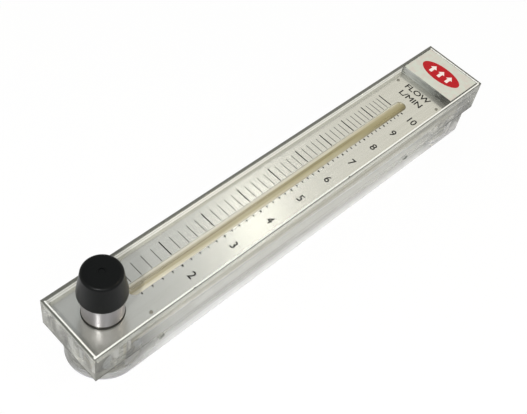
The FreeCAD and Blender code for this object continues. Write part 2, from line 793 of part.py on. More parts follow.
def make_stem():
    """The stem: tapered nose, plug, rod with two grooves, thread and the spigot for the knob."""
    ring_low = "stem_oring_z - stem_oring_d / 2 - oring_clear - stem_tip_z"
    ring_high = "stem_oring_z + stem_oring_d / 2 + oring_clear - stem_tip_z"
    clip_low = "clip_z - clip_gap - stem_tip_z"
    clip_high = "clip_z + clip_thick + clip_gap - stem_tip_z"
    plug_top = "stem_nose_height + stem_plug_height"
    thread_low = "thread_z + stem_shoulder - stem_tip_z"
    thread_high = "knob_web_z - spigot_gap - stem_tip_z"
    turned(
        "valve_stem",
        [
            ("0", "0"),
            ("stem_nose_tip_d / 2", "0"),
            ("stem_nose_d / 2", "stem_nose_height"),
            ("stem_plug_d / 2", "stem_nose_height"),
            ("stem_plug_d / 2", plug_top),
            ("stem_d / 2", plug_top),
            ("stem_d / 2", clip_low),
            ("clip_seat_d / 2", clip_low),
            ("clip_seat_d / 2", clip_high),
            ("stem_d / 2", clip_high),
            ("stem_d / 2", ring_low),
            ("stem_groove_r", ring_low),
            ("stem_groove_r", ring_high),
            ("stem_d / 2", ring_high),
            ("stem_d / 2", thread_low),
            ("stem_thread_d / 2", thread_low),
            ("stem_thread_d / 2", thread_high),
            ("spigot_r", thread_high),
            ("spigot_r", "spigot_top_z - spigot_gap - stem_tip_z"),
            ("0", "spigot_top_z - spigot_gap - stem_tip_z"),
        ],
        y="valve_y",
        z="stem_tip_z",
    )
    ring_of_round_section(
        "stem_oring",
        "stem_groove_r + oring_clear + stem_oring_d / 2",
        "stem_oring_d / 2",
        y="valve_y",
        z="stem_oring_z",
    )
    turned(
        "stem_clip",
        [
            ("clip_seat_d / 2 + clip_gap", "0"),
            ("clip_d / 2", "0"),
            ("clip_d / 2", "clip_thick"),
            ("clip_seat_d / 2 + clip_gap", "clip_thick"),
        ],
        sweep="360 - clip_mouth_deg",
        y="valve_y",
        z="clip_z",
    )


def make_valve_seat():
    """The ring that the stem closes on, clamped by the inlet adaptor."""
    turned(
        "valve_seat",
        [
            ("seat_bore_d / 2", "seat_gap"),
            ("seat_outer_d / 2", "seat_gap"),
            ("seat_outer_d / 2", "seat_depth - seat_gap"),
            ("seat_bore_d / 2", "seat_depth - seat_gap"),
        ],
        y="valve_y",
        z="counterbore_depth",
    )


def make_knob():
    """The tapered knob: a mouth over the collar, a cavity over the neck and a bore for the spigot."""
    knob = new_body("knob")
    web = "knob_cavity_depth"
    top = "spigot_top_z - knob_z"
    section = outline(
        knob,
        "knob_section",
        [
            ("bushing_r + knob_mouth_gap", "0"),
            ("knob_lower_r", "0"),
            ("knob_lower_r", "knob_rim"),
            ("knob_upper_r", "knob_height"),
            ("knob_dimple_d / 2", "knob_height"),
            ("knob_dimple_d / 2", "knob_height - knob_dimple_depth"),
            ("0", "knob_height - knob_dimple_depth"),
            ("0", top),
            ("spigot_r + spigot_gap", top),
            ("spigot_r + spigot_gap", web),
            ("neck_d / 2 + knob_cavity_gap", web),
            ("neck_d / 2 + knob_cavity_gap", "knob_mouth_depth"),
            ("bushing_r + knob_mouth_gap", "knob_mouth_depth"),
        ],
    )
    revolve(knob, section)
    hole = circles(
        knob,
        "set_screw_hole",
        [("0", "knob_cavity_depth + set_screw_rise", "set_screw_d / 2 + set_screw_gap")],
        role="YZ_Plane",
    )
    drilled = pocket(knob, hole, "knob_base_d")
    doc.recompute()
    upper, height = size("knob_upper_r"), size("knob_height")
    edges = [
        "Edge%d" % (i + 1)
        for i, e in enumerate(drilled.Shape.Edges)
        if isinstance(e.Curve, Part.Circle)
        and abs(e.Curve.Radius - upper) < 1e-6
        and abs(e.Curve.Center.z - height) < 1e-6
    ]
    crown = knob.newObject("PartDesign::Fillet", "crown_edge")
    crown.Base = (drilled, edges)
    tie(crown, "Radius", "knob_edge_r")
    knob.Tip = crown
    place(knob, y="valve_y", z="knob_z")

    screw = add_part(doc.addObject("Part::Cylinder", "knob_set_screw"), "knob_set_screw")
    tie(screw, "Radius", "set_screw_d / 2")
    tie(screw, "Height", "set_screw_length")
    place(
        screw,
        x="-spigot_r - set_screw_gap",
        y="valve_y",
        z="knob_web_z + set_screw_rise",
        axis=V(0, 1, 0),
        angle=-90.0,
    )


# ---------------------------------------------------------------- adaptors at the back
def make_adaptor(side, y):
    """One pipe adaptor with its O-ring and the retaining ring behind it."""
    ring_low = "adaptor_oring_z - oring_groove / 2"
    ring_high = "adaptor_oring_z + oring_groove / 2"
    turned(
        side + "_adaptor",
        [
            ("thread_bore_d / 2", "adaptor_recess"),
            ("adaptor_neck_r", "adaptor_recess"),
            ("adaptor_neck_r", "adaptor_step_z"),
            ("adaptor_r", "adaptor_step_z"),
            ("adaptor_r", ring_low),
            ("adaptor_groove_r", ring_low),
            ("adaptor_groove_r", ring_high),
            ("adaptor_r", ring_high),
            ("adaptor_r", "counterbore_depth - seat_gap"),
            ("adaptor_bore_d / 2", "counterbore_depth - seat_gap"),
            ("adaptor_bore_d / 2", "adaptor_recess + thread_length"),
            ("thread_bore_d / 2", "adaptor_recess + thread_length"),
        ],
        y=y,
    )
    ring_of_round_section(
        side + "_oring",
        "adaptor_groove_r + oring_clear + oring_d / 2",
        "oring_d / 2",
        y=y,
        z="adaptor_oring_z",
    )
    turned(
        side + "_retaining_ring",
        [
            ("ring_bore_r", "0"),
            ("ring_outer_r", "0"),
            ("ring_outer_r", "ring_thick"),
            ("ring_bore_r", "ring_thick"),
        ],
        sweep="360 - ring_gap_deg",
        y=y,
        z="ring_inset",
    )


make_body()
make_scale_plate()
make_plate_pins()
make_slip_cap()
make_cap_label()
make_float()
make_float_stop_pin()
make_top_plug()
make_bushing()
make_stem()
make_valve_seat()
make_knob()
make_adaptor("inlet", "valve_y")
make_adaptor("outlet", "outlet_y")

sheet.clear(SCRATCH)
doc.recompute()
failed = [o.Name for o in doc.Objects if "Invalid" in o.State or "Error" in o.State]
if failed:
    raise RuntimeError("failed objects: " + ", ".join(failed))
for part in parts:
    shape = part.Shape
    if shape.isNull() or not shape.isValid() or not shape.Solids:
        raise RuntimeError("bad shape: " + part.Label)

os.makedirs("parts", exist_ok=True)
print(
    "float travel %.2f, stem lift %.2f down and %.2f up"
    % (size("float_travel"), size("valve_open"), size("valve_more"))
)
for part in parts:
    part.Shape.exportStep(os.path.join("parts", part.Label + ".step"))
    box = part.Shape.BoundBox
    print(
        "%-24s solids %d volume %10.1f  x %.2f..%.2f  y %.2f..%.2f  z %.2f..%.2f"
        % (
            part.Label,
            len(part.Shape.Solids),
            part.Shape.Volume,
            box.XMin,
            box.XMax,
            box.YMin,
            box.YMax,
            box.ZMin,
            box.ZMax,
        )
    )
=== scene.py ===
"""Dresses the rotameter: finishes, scale, numbers, badge and threads, with a studio round it."""
import json
import math

import bpy
from mathutils import Matrix, Vector


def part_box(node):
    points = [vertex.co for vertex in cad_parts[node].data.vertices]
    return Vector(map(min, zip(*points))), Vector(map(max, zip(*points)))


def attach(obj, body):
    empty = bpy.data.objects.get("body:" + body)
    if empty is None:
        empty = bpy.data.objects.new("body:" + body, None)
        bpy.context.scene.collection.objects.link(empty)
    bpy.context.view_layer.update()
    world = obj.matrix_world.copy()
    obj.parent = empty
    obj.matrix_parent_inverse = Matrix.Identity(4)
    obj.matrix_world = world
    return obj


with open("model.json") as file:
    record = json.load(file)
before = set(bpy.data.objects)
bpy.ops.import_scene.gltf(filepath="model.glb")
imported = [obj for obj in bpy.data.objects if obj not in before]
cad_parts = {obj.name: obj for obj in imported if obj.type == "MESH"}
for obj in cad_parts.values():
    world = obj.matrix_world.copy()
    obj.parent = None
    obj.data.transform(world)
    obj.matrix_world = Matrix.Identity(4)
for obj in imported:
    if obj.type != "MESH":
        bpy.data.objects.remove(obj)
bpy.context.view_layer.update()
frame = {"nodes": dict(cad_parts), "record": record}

MM = 0.001
THIN = 0.03 * MM  # ink and film stand this far off what they are printed on


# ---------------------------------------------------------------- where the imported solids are
def corners(node):
    """Lowest and highest corner of a solid, in metres."""
    low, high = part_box(node)
    return Vector(low), Vector(high)


PLATE_LOW, PLATE_HIGH = corners("scale_plate")
BODY_LOW, BODY_HIGH = corners("body")
FLOAT_LOW, FLOAT_HIGH = corners("float")
VALVE_LOW, VALVE_HIGH = corners("valve_bushing")
CAP_HALF_WIDTH = corners("slip_cap")[1].x
LABEL_TOP = corners("cap_label")[1].z - THIN  # sunk by its film, so print stays inside the rim
PLATE_TOP = PLATE_HIGH.z
BORE_Z = (FLOAT_LOW.z + FLOAT_HIGH.z) / 2
LEDGE_Z = 22.2 * MM  # underside of the block's corners, beside each port
RIM_WIDTH = 2.0 * MM  # of the block's front, round the recess
VALVE_FREE_Y = VALVE_HIGH.y + 1.0 * MM
VALVE_FOOT = (0.0, (VALVE_LOW.y + VALVE_HIGH.y) / 2, PLATE_LOW.z)
VALVE_REACH = (VALVE_HIGH.y - VALVE_LOW.y) / 2 + 1.5 * MM
MOUNTS = {mount["name"]: mount for mount in frame["record"]["mounts"]}

# ---------------------------------------------------------------- material tools
MATH = "ShaderNodeMath"
RAMP = "ShaderNodeValToRGB"
RANGE = "ShaderNodeMapRange"


def linear(code):
    """An sRGB hex colour as linear RGBA."""
    parts = [int(code[i : i + 2], 16) / 255 for i in (0, 2, 4)]
    return [c / 12.92 if c <= 0.04045 else ((c + 0.055) / 1.055) ** 2.4 for c in parts] + [1.0]


def add(tree, kind, inputs=None, stops=(), **settings):
    """Adds a node. settings are its fields, and stops a ramp's positions and hex colours.

    inputs are constants, sockets to link, or nodes whose first output is linked.
    """
    node = tree.nodes.new(kind)
    for name, value in settings.items():
        setattr(node, name, value)
    for name, value in (inputs or {}).items():
        if isinstance(value, bpy.types.Node):
            value = value.outputs[0]
        if isinstance(value, bpy.types.NodeSocket):
            tree.links.new(value, node.inputs[name])
        else:
            node.inputs[name].default_value = value
    if stops:
        points = node.color_ramp.elements
        while len(points) < len(stops):
            points.new(0.5)
        for point, (position, code) in zip(points, stops):
            point.position = position
            point.color = linear(code)
    return node


def new_material(name):
    """A material with an empty node tree."""
    made = bpy.data.materials.new(name)
    made.use_nodes = True
    made.node_tree.nodes.clear()
    return made, made.node_tree


def grain(tree, size, **look):
    """A noise whose grains are this large along x, y and z, in mm; look is its other inputs."""
    place = add(tree, "ShaderNodeTexCoord").outputs["Object"]
    in_grains = [1 / (length * MM) for length in size]
    spread = add(tree, "ShaderNodeMapping", {"Vector": place, "Scale": in_grains})
    return add(tree, "ShaderNodeTexNoise", {"Vector": spread, "Scale": 1.0, **look})


def axes(tree):
    """Object coordinates taken apart: outputs X, Y and Z, in metres."""
    place = add(tree, "ShaderNodeTexCoord").outputs["Object"]
    return add(tree, "ShaderNodeSeparateXYZ", {0: place}).outputs


def summed(tree, total, *parts):
    """A value with shares of others added to it; each part is a value and its share."""
    for value, share in parts:
        total = add(tree, MATH, {0: value, 1: share, 2: total}, operation="MULTIPLY_ADD")
    return total


def product(tree, first, *others):
    """Parts from 0 to 1, multiplied."""
    for other in others:
        first = add(tree, MATH, {0: first, 1: other}, operation="MULTIPLY")
    return first


def layered(tree, colour, *layers):
    """A colour with others laid over it in turn; each layer is a part from 0 to 1 and a colour."""
    for part, over in layers:
        # inputs 0, 6 and 7 of a colour mix are its factor and its two colours
        mixed = add(tree, "ShaderNodeMix", {0: part, 6: colour, 7: over}, data_type="RGBA")
        colour = mixed.outputs[2]
    return colour


# ---------------------------------------------------------------- parts of the clear block, and the light and shade painted on it
def off_middle(tree):
    """Distance from the middle of the meter's length."""
    return add(tree, MATH, {0: axes(tree)["Y"]}, operation="ABSOLUTE")


def away_from_ends(tree):
    """0 beside the ports, rising to 1 on the length between them."""
    beside, clear = BODY_HIGH.y - 28.0 * MM, BODY_HIGH.y - 62.0 * MM
    return add(tree, RANGE, {"Value": off_middle(tree), "From Min": beside, "From Max": clear})


def beside_ports(tree):
    """1 beside the ports, falling to 0 on the length between them."""
    return add(tree, MATH, {0: 1.0, 1: away_from_ends(tree)}, operation="SUBTRACT")


def low_part(tree):
    """1 at the foot of the block between the ports, falling to 0 higher up and beside them."""
    low = add(tree, RANGE, {"Value": axes(tree)["Z"], "From Min": 20.0 * MM, "From Max": 0.0})
    return product(tree, low, away_from_ends(tree))


def inlet_foot(tree):
    """1 on the rounded foot round the inlet port, falling to 0 at the ledge above it."""
    place = axes(tree)
    dark_z = LEDGE_Z - 6.0 * MM
    below = add(tree, RANGE, {"Value": place["Z"], "From Min": LEDGE_Z, "From Max": dark_z})
    at_inlet = add(tree, MATH, {0: place["Y"], 1: 0.0}, operation="LESS_THAN")
    return product(tree, below, at_inlet, beside_ports(tree))


def edge_lines(tree):
    """Two parts beside the ports: painted shade along the ledge and the left foot edge, and a
    painted highlight along the right foot edge.
    """
    place = axes(tree)
    beside = beside_ports(tree)
    above = add(tree, MATH, {0: place["Z"], 1: LEDGE_Z + 0.6 * MM}, operation="SUBTRACT")
    off_ledge = add(tree, MATH, {0: above}, operation="ABSOLUTE")
    ledge = add(tree, RANGE, {"Value": off_ledge, "From Min": 1.0 * MM, "From Max": 0.0})
    foot = add(tree, RANGE, {"Value": place["Z"], "From Min": 2.2 * MM, "From Max": 0.0})
    right = add(tree, RANGE, {"Value": place["X"], "From Min": -6.0 * MM, "From Max": 6.0 * MM})
    left = add(tree, MATH, {0: 1.0, 1: right}, operation="SUBTRACT")
    edges = add(tree, MATH, {0: ledge, 1: product(tree, foot, left)}, operation="MAXIMUM")
    return product(tree, edges, beside), product(tree, foot, right, beside)


def block_cast(tree):
    """The block's painted grey cast: painted streaks of refracted light along it, painted shade in
    clouds beside the ports, and painted light low down.
    """
    lines = grain(tree, (1.25, 250.0, 1.25), Detail=3.0, Roughness=0.6)
    clouds = grain(tree, (5.0, 11.1, 18.2), Detail=2.0)
    streak_tones = ((0.38, "A4A498"), (0.5, "D6D6CC"), (0.6, "F6F6F0"))
    port_shade_tones = ((0.34, "6E6E66"), (0.5, "A0A096"), (0.64, "C6C6BE"))
    dull, bright = edge_lines(tree)
    return layered(
        tree,
        add(tree, RAMP, {"Fac": clouds}, port_shade_tones),
        (away_from_ends(tree), add(tree, RAMP, {"Fac": lines}, streak_tones)),
        # painted shade on the inlet foot, then painted light low down
        (product(tree, inlet_foot(tree), 0.6), linear("565650")),
        (low_part(tree), linear("F2F2F6")),
        # a painted dark line at the ledge and left foot edge, and a painted highlight on the right
        # foot edge
        (dull, linear("42423D")),
        (bright, linear("D6D6DE")),
    )


def block_haze(tree):
    """How much of the painted shading hides the glass: thin, thicker low down, at the ends and at
    edges, where more light and shade are painted.
    """
    end = {"Value": off_middle(tree), "From Min": 170.0 * MM, "From Max": 190.0 * MM}
    dull, bright = edge_lines(tree)
    haze = summed(
        tree,
        0.26,
        (low_part(tree), 0.3),
        (add(tree, RANGE, end), 0.08),
        (inlet_foot(tree), 0.1),
        (dull, 0.55),
        (bright, 0.55),
    )
    return add(tree, MATH, {0: haze, 1: 0.9}, operation="MINIMUM")


# the view through the slot, painted on the recess floor with a painted dark line and painted
# highlight: tones from the left of the slot to its right, at three places along it
SLOT_VIEW_INLET = (
    (0.1, "DCDCD2"),
    (0.25, "CCC6B4"),
    (0.36, "857C5E"),
    (0.47, "C0B9A2"),
    (0.6, "B0A88C"),
    (0.74, "FAF6E6"),
)
SLOT_VIEW_MIDWAY = (
    (0.1, "DCDCD2"),
    (0.24, "D8D2BC"),
    (0.33, "A9A07C"),
    (0.45, "877D55"),
    (0.6, "B2AA86"),
    (0.85, "C8C4AE"),
)
SLOT_VIEW_OUTLET = (
    (0.1, "DCDCD2"),
    (0.24, "C8C0A2"),
    (0.38, "B6AD88"),
    (0.52, "A89E76"),
    (0.64, "94895F"),
    (0.78, "7C7250"),
)
SLOT_VIEW_TONES = (SLOT_VIEW_INLET, SLOT_VIEW_MIDWAY, SLOT_VIEW_OUTLET)
SLOT_VIEW_WIDTH = 12.0 * MM  # its tones lie across this width, with the slot in the middle


def slot_stain(tree):
    """What the slot shows, painted on the recess floor: khaki with a painted dark line, creamier at
    the inlet with a painted highlight on its right side.
    """
    place = axes(tree)
    wave = grain(tree, (1.43, 143.0, 1.43))
    # the middle of the slot is at 0.5, and wanders by up to 0.15 either way
    across = summed(tree, 0.35, (wave, 0.3), (place["X"], 1 / SLOT_VIEW_WIDTH))
    inlet, midway, outlet = (add(tree, RAMP, {"Fac": across}, tones) for tones in SLOT_VIEW_TONES)
    left_inlet = {"Value": place["Y"], "From Min": -120.0 * MM, "From Max": 40.0 * MM}
    near_outlet = {"Value": place["Y"], "From Min": 50.0 * MM, "From Max": 100.0 * MM}
    changes = (add(tree, RANGE, left_inlet), midway), (add(tree, RANGE, near_outlet), outlet)
    slot_view = layered(tree, inlet, *changes)
    # round the valve the floor lies in the shadow of the plate's hole
    open_floor = add(tree, MATH, {0: place["Y"], 1: VALVE_FREE_Y}, operation="GREATER_THAN")
    return layered(tree, linear("4A4A46"), (open_floor, slot_view))


def floor_haze(tree):
    """How much of the painted view hides the floor: about half, and all in the gap round the valve,
    under its painted shadow.
    """
    place = add(tree, "ShaderNodeTexCoord").outputs["Object"]
    apart = add(tree, "ShaderNodeVectorMath", {0: place, 1: VALVE_FOOT}, operation="DISTANCE")
    from_valve = apart.outputs["Value"]
    in_gap = add(tree, MATH, {0: from_valve, 1: VALVE_REACH}, operation="LESS_THAN")
    return summed(tree, 0.55, (in_gap, 0.45))


def cap_cast(tree):
    """The cap's sawn face, painted with light and shade: pale at the left, grey in the middle and
    dark at the right.
    """
    saw = grain(tree, (6.25, 6.25, 1.11))
    # 0 at the left of the cap and 1 at its right, broken up by the saw by up to 0.25 either way
    across = summed(tree, 0.25, (saw, 0.5), (axes(tree)["X"], 0.5 / CAP_HALF_WIDTH))
    tones = (
        (0.0, "8C8E88"),
        (0.1, "E0E2DE"),
        (0.45, "B4B8B2"),
        (0.65, "9A9C98"),
        (0.8, "4C4C48"),
        (0.97, "7A7A74"),
    )
    return add(tree, RAMP, {"Fac": across}, tones)


def wall_marks(tree):
    """The recess wall: painted shade at its top corner, then milky with one thin grey line along
    it.
    """
    ends = {"From Min": PLATE_TOP, "From Max": BODY_HIGH.z}
    height = add(tree, RANGE, {"Value": axes(tree)["Z"], **ends})
    tones = (
        (0.3, "F4F4EE"),
        (0.38, "A8A8A0"),
        (0.46, "F4F4EE"),
        (0.72, "F0F0EA"),
        (0.8, "63645D"),
    )
    return add(tree, RAMP, {"Fac": height}, tones)


def bore_cast(tree):
    """The reamed bore: long lines of khaki and cream, the cream lines a painted highlight of
    refracted light.
    """
    return add(tree, RAMP, {"Fac": reamed_lines(tree)}, ((0.38, "A8A080"), (0.62, "E2DCC2")))


def tapped_cast(tree):
    """The tapped holes: torn plastic in two greys."""
    return add(tree, RAMP, {"Fac": reamed_lines(tree)}, ((0.38, "5C5E58"), (0.62, "84867E")))


def reamed_lines(tree):
    """Long lines along the block, drawn coarse enough to show: tool lines, which in the bore also
    carry painted streaks of refracted light.
    """
    return grain(tree, (2.38, 200.0, 2.38))


# ---------------------------------------------------------------- kinds of material
def clear_polycarbonate(name, tint, cast, part, rough):
    """Clear polycarbonate under a haze: cast(tree) is its colour, part its share or part(tree)."""
    made, tree = new_material(name)
    # tool marks along the length, drawn out once polished: about 4 mm apart and very shallow
    ripple = grain(tree, (4.17, 250.0, 4.17), Detail=0.0)
    shallow = {"Height": ripple, "Strength": 0.1, "Distance": 0.05 * MM}
    look = {
        "Base Color": linear(tint),
        "Roughness": rough,
        "IOR": 1.585,
        "Transmission Weight": 1.0,
        "Normal": add(tree, "ShaderNodeBump", shallow),
    }
    glass = add(tree, "ShaderNodeBsdfPrincipled", look)
    haze = add(tree, "ShaderNodeBsdfDiffuse", {"Color": cast(tree)})
    share = part(tree) if callable(part) else part
    lit = add(tree, "ShaderNodeMixShader", {0: share, 1: glass, 2: haze})
    through = add(tree, "ShaderNodeBsdfTransparent", {"Color": linear("FEFEFC")})
    in_shadow = add(tree, "ShaderNodeLightPath").outputs["Is Shadow Ray"]
    both = add(tree, "ShaderNodeMixShader", {0: in_shadow, 1: lit, 2: through})
    add(tree, "ShaderNodeOutputMaterial", {"Surface": both})
    return made


def metal(name, colour, dull, rough, size, lift=0.3, metallic=1.0):
    """A metal of two near tones; size is its fine lines' or specks' along x, y and z, in mm."""
    made, tree = new_material(name)
    lines = grain(tree, size, Detail=4.0, Roughness=0.7)
    bump = add(tree, "ShaderNodeBump", {"Height": lines, "Strength": lift, "Distance": 0.02 * MM})
    look = {
        "Base Color": add(tree, RAMP, {"Fac": lines}, ((0.35, dull), (0.65, colour))),
        "Metallic": metallic,
        "Roughness": rough,
        "Normal": bump,
    }
    shader = add(tree, "ShaderNodeBsdfPrincipled", look)
    add(tree, "ShaderNodeOutputMaterial", {"Surface": shader})
    return made


def turned_collar(name, colour, foot, shade_top):
    """Turned steel whose rings pull a highlight upright; below the given height (metres) it is
    painted dark, a painted shade where it stands in the plate.
    """
    made, tree = new_material(name)
    ends = {"From Min": shade_top, "From Max": shade_top + 1.0 * MM}
    rise = add(tree, RANGE, {"Value": axes(tree)["Z"], **ends})
    look = {
        "Base Color": add(tree, RAMP, {"Fac": rise}, ((0.0, foot), (0.5, colour))),
        "Metallic": 1.0,
        "Roughness": 0.4,
        "Anisotropic": 1.0,
        "Anisotropic Rotation": 0.25,
        "Tangent": add(tree, "ShaderNodeTangent", direction_type="RADIAL", axis="Z"),
    }
    shader = add(tree, "ShaderNodeBsdfPrincipled", look)
    add(tree, "ShaderNodeOutputMaterial", {"Surface": shader})
    return made


def inside_of(tree, edge, along):
    """How far a point lies inside the two edges that stand this far from the middle."""
    off_centre = add(tree, MATH, {0: along}, operation="ABSOLUTE")
    return add(tree, MATH, {0: edge, 1: off_centre}, operation="SUBTRACT")


def rim_corner(name, outer, inner, nick):
    """The front rim's top: painted shade towards its outer corner, a painted highlight inside, with
    a few dark nicks.
    """
    made, tree = new_material(name)
    place = axes(tree)
    inset_x = inside_of(tree, BODY_HIGH.x, place["X"])
    inset_y = inside_of(tree, BODY_HIGH.y, place["Y"])
    inset = add(tree, MATH, {0: inset_x, 1: inset_y}, operation="MINIMUM")
    left = add(tree, MATH, {0: place["X"], 1: -PLATE_HIGH.x}, operation="LESS_THAN")
    right = add(tree, MATH, {0: place["X"], 1: PLATE_HIGH.x}, operation="GREATER_THAN")
    far = add(tree, MATH, {0: place["Y"], 1: PLATE_HIGH.y}, operation="GREATER_THAN")
    marks = grain(tree, (1.11, 16.7, 1.11))
    # painted shade covers all the left rim's width, most of the far one's, and the right one's
    # corner
    shares = (inset, 1 / RIM_WIDTH), (left, -0.8), (far, -0.35), (right, 0.32), (marks, 0.2)
    spread = summed(tree, 0.0, *shares)
    width = add(tree, RAMP, {"Fac": spread}, ((0.66, outer), (0.8, inner)))
    nicks = grain(tree, (4.17, 7.7, 4.17), Detail=3.0, Roughness=0.7)
    nicked = add(tree, RANGE, {"Value": nicks, "From Min": 0.66, "From Max": 0.7})
    colour = layered(tree, width, (nicked, linear(nick)))
    shader = add(tree, "ShaderNodeBsdfPrincipled", {"Base Color": colour, "Roughness": 0.35})
    add(tree, "ShaderNodeOutputMaterial", {"Surface": shader})
    return made


def plain(name, colour, fleck, size, rough, depth=0.05, specular=0.5):
    """A plastic, rubber or ink in two near tones; its grain's size and depth are in mm."""
    made, tree = new_material(name)
    specks = grain(tree, (size, size, size), Detail=2.0, Roughness=0.6)
    bump = add(tree, "ShaderNodeBump", {"Height": specks, "Strength": 0.6, "Distance": depth * MM})
    look = {
        "Base Color": add(tree, RAMP, {"Fac": specks}, ((0.38, fleck), (0.6, colour))),
        "Roughness": rough,
        "Specular IOR Level": specular,
        "Normal": bump,
    }
    shader = add(tree, "ShaderNodeBsdfPrincipled", look)
    add(tree, "ShaderNodeOutputMaterial", {"Surface": shader})
    return made


# ---------------------------------------------------------------- the materials
# Polycarbonate, milled and vapour polished: glass clear outside, with a painted grey cast in its
# depth: painted streaks, painted shade beside the ports and painted light low down
POLYCARBONATE = clear_polycarbonate(
    "polycarbonate_polished", "F7F8F3", block_cast, block_haze, 0.04
)
# The reamed bore can't be polished: its wall is satin and khaki, with cream lines painted as
# highlights of refracted light
BORE_WALL = clear_polycarbonate("polycarbonate_reamed_painted_streaks", "F3EDD6", bore_cast, 0.5, 0.12)
# The recess is milled to a matt floor, painted under the slot with the view through it: khaki, a
# painted dark line and a painted highlight
RECESS_FLOOR = clear_polycarbonate(
    "polycarbonate_recess_milled", "F4F0DE", slot_stain, floor_haze, 0.18
)
# The wall of the recess is cut by the side of the mill: milky, with painted shade at the top
RECESS_WALL = clear_polycarbonate("polycarbonate_recess_wall", "F6F6F2", wall_marks, 0.7, 0.2)
# The cap is sawn and only lightly polished; its face is painted with light at its left and shade at
# its right
CAP_PLASTIC = clear_polycarbonate("polycarbonate_cap", "F0F2EC", cap_cast, 0.55, 0.08)
# Tapped holes tear the plastic a little, so their threads read as grey rings in the clear block
TAPPED = clear_polycarbonate("polycarbonate_tapped", "DCDED6", tapped_cast, 0.6, 0.2)
# Anodised aluminium under clear lacquer: a satin sheet whose rolled grain runs along the scale,
# and whose lacquer scatters a little light
ROLLED = (0.667, 83.3, 0.667)
PLATE = metal("aluminium_satin_lacquered", "D0D0C9", "CACAC2", 0.23, ROLLED, 0.25, 0.75)
# Stainless steel, turned and polished: fine rings that pull each highlight into an upright streak,
# and a painted shade at its foot
STEEL = turned_collar("stainless_turned_polished", "A09EA0", "3C3A36", PLATE_TOP + 2.2 * MM)
# Stainless steel, turned and left bright: a fine even grain that keeps small parts from glaring
STEEL_SMALL = metal("stainless_turned", "BDBBB6", "A9A7A2", 0.28, (0.833, 0.833, 0.833))
# Stainless steel, headed cold and left dull: small grey heads on the plate
STEEL_DULL = metal("stainless_headed_dull", "A09E96", "84827A", 0.5, (0.667, 0.667, 0.667))
# Brass, turned and nickel plated: a grey metal with only a breath of yellow between fine rings
BRASS = metal("brass_nickel_plated", "ADA999", "989482", 0.34, (11.1, 11.1, 0.385))
# Phenolic, moulded: near black, with a soft sheen and a faint grain
KNOB = plain("phenolic_moulded_black", "040606", "080A0A", 0.5, 0.36, specular=0.13)
# Acetal, turned from bar: a slightly waxy black with faint flecks
PLUG = plain("acetal_black", "171717", "101010", 0.8, 0.4)
# Nitrile, moulded: a dead black with a grey bloom
RUBBER = plain("nitrile_rubber", "0C0C0C", "161615", 0.6, 0.6)
# PTFE, sintered: a waxy white with faint clouds
PTFE = plain("ptfe_white", "E6E4DC", "DCD9CF", 1.5, 0.5)
# Vinyl film, printed a pale grey: faint warm and cool clouds under its gloss
FILM = plain("vinyl_film_pale", "C8CDC1", "CAC4BA", 4.0, 0.35, 0.01)
# Screen ink, thick: nearly black, broken up a little by the plate's grain
INK = plain("screen_ink_dark", "262624", "363632", 0.3, 0.7, 0.01, 0.1)
# Screen ink, thin: the fine marks let some of the plate through
INK_LIGHT = plain("screen_ink_thin", "4A4A44", "66665E", 0.3, 0.6, 0.01, 0.2)
# Screen ink, red: slightly uneven where it went on
RED = plain("screen_ink_red", "BA0E1A", "A6121C", 1.2, 0.55, 0.01, 0.2)
# Screen ink, white, with some red showing through
PALE = plain("screen_ink_white", "F2EAE4", "E8D6D0", 0.5, 0.5, 0.01)
# The rim is milled and its corners broken by hand; its top is painted with shade at the outer
# corner and a highlight at the inner
RIM = rim_corner("polycarbonate_rim_milled", "5E5F58", "F4F4EE", "3E3E3A")

FINISHES = {
    "body": POLYCARBONATE,
    "slip_cap": CAP_PLASTIC,
    "scale_plate": PLATE,
    "plate_pins": STEEL_DULL,
    "cap_label": FILM,
    "float": STEEL_SMALL,
    "float_stop_pin": STEEL_SMALL,
    "top_plug": PLUG,
    "top_plug_oring": RUBBER,
    "plug_retaining_pin": STEEL_SMALL,
    "valve_bushing": STEEL,
    "bushing_oring": RUBBER,
    "valve_stem": STEEL_SMALL,
    "stem_oring": RUBBER,
    "stem_clip": STEEL_SMALL,
    "valve_seat": PTFE,
    "knob": KNOB,
    "knob_set_screw": STEEL_SMALL,
    "inlet_adaptor": BRASS,
    "outlet_adaptor": BRASS,
    "inlet_oring": RUBBER,
    "outlet_oring": RUBBER,
    "inlet_retaining_ring": STEEL_SMALL,
    "outlet_retaining_ring": STEEL_SMALL,
}
for node, finish in FINISHES.items():
    slots = frame["nodes"][node].data.materials
    slots.clear()
    slots.append(finish)

# ---------------------------------------------------------------- cut faces of the block
BORE_LEAST, BORE_MOST = 6.0 * MM, 9.6 * MM  # radii just past those of the tapered bore
CORNER = 0.6 * MM  # wider than the broken edges of the front rim
HOLE_REACH = 10.0 * MM  # from the middle of a tapped hole, past its bottom
HOLE_MARGIN_MM = 0.8  # the torn plastic reaches this far past the wall of a hole
SQUARELY = 0.9  # a face looks along an axis if its normal's share on it is over this
TAPPED_HOLES = [
    (MOUNTS[name]["pos_m"], (MOUNTS[name]["dims"]["r_mm"] + HOLE_MARGIN_MM) * MM)
    for name in ("bracket_hole_inlet", "bracket_hole_outlet")
]


